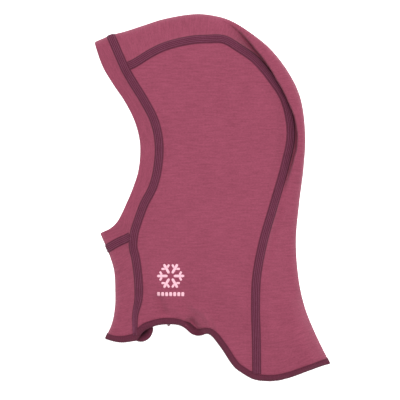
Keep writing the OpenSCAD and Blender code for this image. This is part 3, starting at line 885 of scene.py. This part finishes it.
def hem_overlock(track):
    """Overlock loops wrapped round the raw edge, over a bed of matted thread; the bed's darker plum between the loops
    is painted shade.
    """
    n = int(track["s"][-1] / 0.85)
    s = np.linspace(0.2, track["s"][-1] - 0.2, n)
    fine = np.linspace(0, n - 1, n * 9)
    column = np.interp(fine, np.arange(n), zigzag(n, -1, 1))
    run = on_track(track, np.interp(fine, np.arange(n), s), column, LIFT)
    turn = np.linspace(0, 3.5 * math.pi, 60)
    knot = np.stack([np.sin(turn), -0.6 - 0.2 * turn * np.abs(np.cos(turn)), 0.5 * np.cos(turn)], 1)
    knot = np.array([*THREAD_END, MID_Z + FOLD_R]) + knot
    tail = (knot, np.tile([0.0, 0.0, 1.0], (len(knot), 1)))
    return tubes("hem_loops", [run, tail], THREAD_R * 1.1, sides=5)


def hem_bed(track):
    return skin("hem_bed", track["grid"], 0.02, 0.2, arc_uv(track["grid"]))


def hem_needle(track):
    n = int(track["s"][-1] / 2.2)
    phase = np.linspace(0, n, n * 7)
    s = phase / n * track["s"][-1]
    hump = np.abs(np.sin(math.pi * phase)) ** 0.6
    outside = on_track(track, s, 0.98, 0.3 + 0.3 * hump)
    inside = on_track(track, s, -0.98, 0.3 + 0.3 * hump)
    return tubes("hem_needle", [outside, inside], THREAD_R * 1.1, sides=5)


# ---- Trim ----

PRINT_AT = np.array([-35, -66.2])
FLAKE_D = 23.0
FLAKE_BAR = 0.1 * FLAKE_D


def printed_bar(a, b, width):
    """Corner grid of a straight printed bar with rounded ends, on the upper layer."""
    path = np.linspace(a, b, 9)
    tangent = unit(b - a)
    across = np.array([-tangent[1], tangent[0]])
    half = width / 2 * np.ones(9)
    half[[0, -1]] *= 0.55
    plan = path[:, None] + np.array([-1, -0.5, 0, 0.5, 1])[None, :, None] * (half[:, None, None] * across)
    return upper(plan, np.full(plan.shape[:2], FOLD_R))


def side_print():
    bars = []
    arm = FLAKE_D / 2
    for k in range(6):
        out = np.array([math.cos(math.radians(60 * k)), math.sin(math.radians(60 * k))])
        bars.append((PRINT_AT + 1.1 * FLAKE_BAR * out, PRINT_AT + arm * out, FLAKE_BAR))
        for turn in (-60, 60):
            angle = math.radians(60 * k + turn)
            tick = np.array([math.cos(angle), math.sin(angle)])
            root = PRINT_AT + 0.6 * arm * out
            bars.append((root + 0.55 * FLAKE_BAR * tick, root + 0.38 * arm * tick, 0.8 * FLAKE_BAR))
    dash = 0.11 * FLAKE_D
    for k in range(7):
        left = PRINT_AT + np.array([k * (FLAKE_D - dash) / 6 - arm, -0.67 * FLAKE_D])
        bars.append((left, left + np.array([dash, 0]), 0.15 * FLAKE_D))
    verts, faces = [], []
    for a, b, width in bars:
        grid = printed_bar(a, b, width)
        normals = grid_normals(grid)
        loops = np.concatenate([grid + 0.12 * normals, (grid + 0.01 * normals)[:, ::-1]], 1)
        faces.append(loop_faces(*loops.shape[:2]) + sum(len(v) for v in verts))
        verts.append(loops.reshape(-1, 3))
    verts = np.vstack(verts)
    return make_object("snowflake_print", verts, np.vstack(faces), verts[:, :2])


def band_closing_seam():
    """The short seam that joins the band's ends, on the lower layer."""
    sewn, edge = band_sewn(np.array([0.56]))[0], spline(FACE_EDGE, 0.56)[0]
    start = sewn + (SEAM_W / 2 + 0.6) * unit(edge - sewn)
    path = resample(np.array([start, edge + 3 * unit(sewn - edge)]), 0.6)
    grid = make_track(path, np.full(len(path), FOLD_R), -1, TRACK_COLUMNS * 0.6)[::-1]
    track = finish_track(grid, TRACK_COLUMNS * 0.6)
    n = int(track["s"][-1] / 0.8)
    fine = np.linspace(0, n - 1, n * 6)
    s = np.interp(fine, np.arange(n), np.linspace(0.2, track["s"][-1] - 0.2, n))
    column = np.interp(fine, np.arange(n), zigzag(n, -1.9, 1.9))
    return tubes("band_closing", [on_track(track, s, column, 0.2)], THREAD_R, sides=6)


def care_label():
    """A folded ribbon label, caught at its two ends in the right crown seam."""
    low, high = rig.box("care_label")
    low, high = np.array(low) / METRE, np.array(high) / METRE
    low[:2] += DRAWN_CENTRE
    high[:2] += DRAWN_CENTRE
    r = (high[2] - low[2]) / 2 - 0.15
    mid = (low[2] + high[2]) / 2
    turn = np.radians(np.linspace(90, 270, 9))
    leg = np.linspace(high[0], low[0] + r, 14)
    x = np.concatenate([leg, low[0] + r + r * np.cos(turn), leg[::-1]])
    z = np.concatenate([np.full(14, mid + r), mid + r * np.sin(turn), np.full(14, mid - r)])
    keep = np.concatenate([[True], np.hypot(np.diff(x), np.diff(z)) > 1e-6])
    x, z = x[keep], z[keep]
    y = np.linspace(low[1], high[1], 12)
    grid = np.stack(np.broadcast_arrays(x[:, None], y[None], z[:, None]), -1)
    return skin("label", grid, -0.12, 0.12, arc_uv(grid))


# ---- Materials ----

def new_material(name):
    mat = bpy.data.materials.new(name)
    mat.use_nodes = True
    tree = mat.node_tree
    return mat, tree, tree.nodes["Principled BSDF"]


def math_node(tree, operation, *inputs):
    node = tree.nodes.new("ShaderNodeMath")
    node.operation = operation
    for k, value in enumerate(inputs):
        if isinstance(value, (int, float)):
            node.inputs[k].default_value = value
        else:
            tree.links.new(value, node.inputs[k])
    return node.outputs[0]


def weighted_sum(tree, *terms):
    """The sum of values, each times its own weight."""
    total = 0.0
    for value, weight in terms:
        total = math_node(tree, "ADD", total, math_node(tree, "MULTIPLY", value, weight))
    return total


def stretched_noise(tree, coords, scale, detail=2.0):
    """Noise whose grain is stretched: scale is its rate per metre along and across."""
    mapping = tree.nodes.new("ShaderNodeMapping")
    mapping.inputs["Scale"].default_value = (scale[0], scale[1], 1)
    noise = tree.nodes.new("ShaderNodeTexNoise")
    noise.inputs["Scale"].default_value = 1
    noise.inputs["Detail"].default_value = detail
    tree.links.new(coords, mapping.inputs["Vector"])
    tree.links.new(mapping.outputs[0], noise.inputs["Vector"])
    return noise.outputs["Fac"]


def blend_colours(tree, factor, dark, light):
    mix = tree.nodes.new("ShaderNodeMix")
    mix.data_type = "RGBA"
    tree.links.new(factor, mix.inputs["Factor"])
    mix.inputs[6].default_value = (*dark, 1)
    mix.inputs[7].default_value = (*light, 1)
    return mix.outputs[2]


def bump(tree, height, distance, strength, shader):
    node = tree.nodes.new("ShaderNodeBump")
    node.inputs["Distance"].default_value = distance
    node.inputs["Strength"].default_value = strength
    tree.links.new(height, node.inputs["Height"])
    tree.links.new(node.outputs[0], shader.inputs["Normal"])


def knit_height(tree, coords, wale, course):
    """Plain knit: columns of V-shaped stitches, wale wide and course high, in metres."""
    split = tree.nodes.new("ShaderNodeSeparateXYZ")
    tree.links.new(coords, split.inputs[0])
    u = math_node(tree, "FRACT", math_node(tree, "DIVIDE", split.outputs[0], wale))
    v = math_node(tree, "DIVIDE", split.outputs[1], course)
    leg = math_node(tree, "ABSOLUTE", math_node(tree, "SUBTRACT", math_node(tree, "MULTIPLY", u, 2.0), 1.0))
    arch = math_node(tree, "SINE", math_node(tree, "MULTIPLY", leg, math.pi))
    slant = math_node(tree, "SUBTRACT", v, math_node(tree, "MULTIPLY", leg, 0.7))
    stitch = math_node(tree, "SINE", math_node(tree, "MULTIPLY", math_node(tree, "FRACT", slant), math.pi))
    rounded = math_node(tree, "POWER", stitch, 0.6)
    return math_node(tree, "MULTIPLY", rounded, math_node(tree, "POWER", arch, 0.5))


WALE = 0.00095                                  # width and height of one knit stitch, in metres
COURSE = 0.0007
ROSE_DARK = (0.098, 0.010, 0.024)
ROSE_LIGHT = (0.398, 0.084, 0.149)


def rose_knit():
    mat, tree, shader = new_material("rose_knit")
    coords = tree.nodes.new("ShaderNodeTexCoord").outputs["UV"]
    streaks = stretched_noise(tree, coords, (90, 700), 3)
    fleck = stretched_noise(tree, coords, (620, 900), 2)
    cloud = stretched_noise(tree, coords, (26, 30), 2)
    stitch = knit_height(tree, coords, WALE, COURSE)
    # The next term darkens the colour where the knit lies low between stitches: painted shade in the knit's hollows.
    painted_stitch_shade = math_node(tree, "SUBTRACT", stitch, 0.6)
    tone = weighted_sum(tree, (streaks, 0.42), (fleck, 0.45), (cloud, 0.13), (painted_stitch_shade, 0.12))
    tree.links.new(blend_colours(tree, tone, ROSE_DARK, ROSE_LIGHT), shader.inputs["Base Color"])
    roughness = math_node(tree, "ADD", 0.82, math_node(tree, "MULTIPLY", fleck, 0.15))
    tree.links.new(roughness, shader.inputs["Roughness"])
    shader.inputs["Specular IOR Level"].default_value = 0.25
    shader.inputs["Sheen Weight"].default_value = 0.12
    shader.inputs["Sheen Roughness"].default_value = 0.45
    shader.inputs["Sheen Tint"].default_value = (0.95, 0.62, 0.72, 1)
    bump(tree, weighted_sum(tree, (stitch, 1.0), (streaks, 0.5)), 0.0003, 0.7, shader)
    return mat


def thread_material(name, dark, light):
    mat, tree, shader = new_material(name)
    coords = tree.nodes.new("ShaderNodeTexCoord").outputs["UV"]
    split = tree.nodes.new("ShaderNodeSeparateXYZ")
    tree.links.new(coords, split.inputs[0])
    along = math_node(tree, "DIVIDE", split.outputs[0], 0.0006)
    twist = math_node(tree, "ADD", along, math_node(tree, "DIVIDE", split.outputs[1], 0.0008))
    ply = math_node(tree, "ABSOLUTE", math_node(tree, "SINE", math_node(tree, "MULTIPLY", twist, math.pi)))
    tint = stretched_noise(tree, coords, (260, 260), 2)
    # Mixing the ply pattern into the colour darkens the hollows of the twist: painted shade, besides the thread's own
    # tint.
    tone = weighted_sum(tree, (ply, 0.35), (tint, 0.65))
    tree.links.new(blend_colours(tree, tone, dark, light), shader.inputs["Base Color"])
    shader.inputs["Roughness"].default_value = 0.75
    shader.inputs["Specular IOR Level"].default_value = 0.15
    shader.inputs["Sheen Weight"].default_value = 0.04
    bump(tree, ply, 0.0001, 0.6, shader)
    return mat


def print_material():
    mat, tree, shader = new_material("pink_print")
    coords = tree.nodes.new("ShaderNodeTexCoord").outputs["UV"]
    stitch = knit_height(tree, coords, WALE, COURSE)
    wear = stretched_noise(tree, coords, (400, 500), 3)
    pink = blend_colours(tree, wear, (0.66, 0.33, 0.41), (0.80, 0.46, 0.54))
    tree.links.new(pink, shader.inputs["Base Color"])
    shader.inputs["Roughness"].default_value = 0.55
    bump(tree, stitch, 0.00012, 0.5, shader)
    return mat


def label_material():
    mat, tree, shader = new_material("label_cloth")
    coords = tree.nodes.new("ShaderNodeTexCoord").outputs["UV"]
    weave = stretched_noise(tree, coords, (300, 3000), 2)
    white = blend_colours(tree, weave, (0.72, 0.71, 0.68), (0.86, 0.85, 0.83))
    tree.links.new(white, shader.inputs["Base Color"])
    shader.inputs["Roughness"].default_value = 0.45
    bump(tree, weave, 0.0001, 0.4, shader)
    return mat


def table_material():
    mat, tree, shader = new_material("table")
    coords = tree.nodes.new("ShaderNodeTexCoord").outputs["Object"]
    grain = stretched_noise(tree, coords, (40, 40), 3)
    pale = blend_colours(tree, grain, (0.86, 0.86, 0.86), (0.88, 0.88, 0.88))
    tree.links.new(pale, shader.inputs["Base Color"])
    shader.inputs["Roughness"].default_value = 0.9
    shader.inputs["Emission Color"].default_value = (1, 1, 1, 1)
    shader.inputs["Emission Strength"].default_value = 0.8
    return mat


# ---- Put the garment together ----

KNIT = rose_knit()
PLUM = thread_material("plum_thread", (0.084, 0.016, 0.038), (0.228, 0.058, 0.116))
# The two darker copies of the plum thread are painted shade: their darkness stands for the shadow along each seam's
# edges, where the fabric dips beside the stitching, and along the hem's needle line and edge.
PLUM_EDGE_PAINTED_SHADE = thread_material("plum_edge_painted_shade", (0.062, 0.008, 0.020), (0.140, 0.021, 0.048))
PLUM_BED_PAINTED_SHADE = thread_material("plum_bed_painted_shade", (0.055, 0.009, 0.022), (0.120, 0.022, 0.046))
PRINT = print_material()
LABEL = label_material()


def place(obj, material, slot, *nodes):
    obj.data.materials.append(material)
    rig.ride(obj, "root")
    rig.slot(obj, slot)
    if nodes:
        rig.replaces(obj, *nodes)
    return obj


left = place(left_side_panel(), KNIT, "rose_knit", "left_side_panel")
right = place(right_side_panel(), KNIT, "rose_knit", "right_side_panel")
crown = place(crown_panel(), KNIT, "rose_knit", "crown_panel")
chin = place(chin_panel(), KNIT, "rose_knit", "chin_panel")
band = place(face_band(), KNIT, "rose_knit", "face_band")

stitching = {}
for seam, track in seam_tracks().items():
    # The bed and the zigzag take the darker copies: painted shade along the seam's edges.
    stitching[seam] = [
        place(seam_bed(seam + "_bed", track, 0.02, 0.22), PLUM_BED_PAINTED_SHADE, "plum_thread"),
        place(cover_thread(seam + "_zigzag", track), PLUM_EDGE_PAINTED_SHADE, "plum_thread", seam + "_cover"),
        place(needle_threads(seam + "_stitches", track), PLUM, "plum_thread", seam + "_needles"),
        place(looper_thread(seam + "_loops", track), PLUM, "plum_thread", seam + "_looper"),
    ]

hem = hem_track()
# The hem's bed, loops and needle line take the darker copies: painted shade along the hem.
stitching["hem"] = [
    place(hem_bed(hem), PLUM_BED_PAINTED_SHADE, "plum_thread"),
    place(hem_overlock(hem), PLUM_EDGE_PAINTED_SHADE, "plum_thread", "hem_overlock"),
    place(hem_needle(hem), PLUM_EDGE_PAINTED_SHADE, "plum_thread", "hem_needle_thread"),
]
closing = place(band_closing_seam(), PLUM, "plum_thread", "band_closing_seam")
label = place(care_label(), LABEL, "label_cloth", "care_label")
flake = place(side_print(), PRINT, "pink_print", "side_print")

# Each sheet's flat size is that of its cut cloth, in metres
SIDE_CUT = (0.139, 0.289)
SIDE_AREA = 0.0278
on_left = stitching["left_crown_seam"] + [flake]
on_right = stitching["right_crown_seam"]
on_band = stitching["front_seam"] + [closing]
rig.sheet(right, SIDE_CUT, "laid", ["table"], SIDE_AREA, with_pieces=on_right)
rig.sheet(left, SIDE_CUT, "laid", ["right_side"], SIDE_AREA, with_pieces=on_left)
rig.sheet(crown, (0.13, 0.42), "folded", ["table"], 0.0272, with_pieces=stitching["hem"])
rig.sheet(chin, (0.06, 0.09), "folded", ["table"], 0.0041, with_pieces=stitching["chin_seam"])
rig.sheet(band, (0.046, 0.38), "folded", ["table"], 0.0114, with_pieces=on_band)
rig.sheet(label, (0.026, 0.068), "folded", ["right_side"])


# ---- Table, light and camera ----

def add_table():
    mesh = bpy.data.meshes.new("table")
    half = 3.0
    corners = [(-half, -half, 0), (half, -half, 0), (half, half, 0), (-half, half, 0)]
    mesh.from_pydata(corners, [], [(0, 1, 2, 3)])
    obj = bpy.data.objects.new("table", mesh)
    bpy.context.scene.collection.objects.link(obj)
    mesh.materials.append(table_material())
    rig.stage(obj)
    return obj


def add_area(name, place_at, aim, size, power):
    data = bpy.data.lights.new(name, "AREA")
    data.shape = "SQUARE"
    data.size = size
    data.energy = power
    obj = bpy.data.objects.new(name, data)
    bpy.context.scene.collection.objects.link(obj)
    obj.location = place_at
    direction = np.array(aim, float) - np.array(place_at, float)
    obj.rotation_mode = "QUATERNION"
    obj.rotation_quaternion = Vector(direction).to_track_quat("-Z", "Y")
    return obj


def add_world(strength):
    world = bpy.data.worlds.new("studio")
    world.use_nodes = True
    background = world.node_tree.nodes["Background"]
    background.inputs["Color"].default_value = (1, 1, 1, 1)
    background.inputs["Strength"].default_value = strength
    bpy.context.scene.world = world


VIEW_W = 340                                    # what the picture spans at the garment, in plan millimetres
VIEW_AT = (-10.59, -2.85)                       # its middle, from the middle of the garment


def add_camera():
    """Straight above the garment, a little to the face side of its middle."""
    data = bpy.data.cameras.new("camera")
    data.sensor_width = 36
    data.lens = 180
    width = VIEW_W * METRE
    distance = width * data.lens / data.sensor_width
    obj = bpy.data.objects.new("camera", data)
    bpy.context.scene.collection.objects.link(obj)
    obj.location = (VIEW_AT[0] * METRE, VIEW_AT[1] * METRE, distance + 8 * METRE)
    bpy.context.scene.camera = obj


add_table()
add_area("key", place_at=(0.15, 0.45, 1.5), aim=(0, 0, 0), size=0.9, power=18.5)
add_world(0.97)
add_camera()
bpy.context.scene.view_settings.view_transform = "Standard"

new_low, new_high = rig.bounds()
with open("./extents.json", "w") as f:
    json.dump({"cad": [list(CAD_LOW), list(CAD_HIGH)], "visual": [list(new_low), list(new_high)]}, f)
